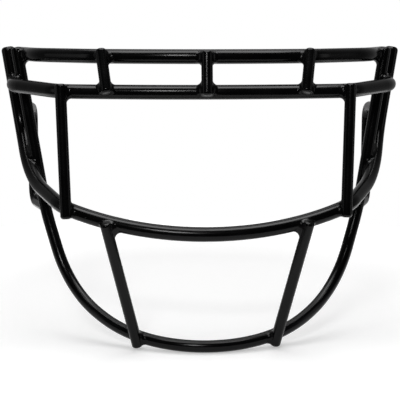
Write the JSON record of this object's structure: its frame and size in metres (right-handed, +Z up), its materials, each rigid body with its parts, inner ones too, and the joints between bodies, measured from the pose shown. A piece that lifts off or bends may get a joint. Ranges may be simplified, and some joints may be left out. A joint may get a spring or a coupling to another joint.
{
  "type": "football helmet facemask",
  "caption": "Open wire facemask of bent and welded steel rods under a glossy black plastic coat, with brow bars, eye bar, jaw frame, mouth rods and side clip loops.",
  "frame": {"origin": "middle of the mask's bounding box", "axes": "+X to the wearer's left, the viewer's right; +Y back towards the wearer; +Z up. Node names use the wearer's right and left."},
  "size_m": [0.2298, 0.1013, 0.1613],
  "materials": {
    "steel": "bare drawn steel rod, sealed under the coat",
    "coating": "glossy black dipped plastic"
  },
  "bodies": {
    "root": {"eye_bar_core": "steel", "eye_bar_coat": "coating", "lower_brow_bar_core": "steel", "lower_brow_bar_coat": "coating", "top_brow_bar_core": "steel", "top_brow_bar_coat": "coating", "jaw_frame_core": "steel", "jaw_frame_coat": "coating", "centre_post_core": "steel", "centre_post_coat": "coating", "right_clip_loop_core": "steel", "right_clip_loop_coat": "coating", "right_brow_post_core": "steel", "right_brow_post_coat": "coating", "right_eye_upright_core": "steel", "right_eye_upright_coat": "coating", "right_mouth_rod_core": "steel", "right_mouth_rod_coat": "coating", "left_clip_loop_core": "steel", "left_clip_loop_coat": "coating", "left_brow_post_core": "steel", "left_brow_post_coat": "coating", "left_eye_upright_core": "steel", "left_eye_upright_coat": "coating", "left_mouth_rod_core": "steel", "left_mouth_rod_coat": "coating"}
  },
  "joints": []
}
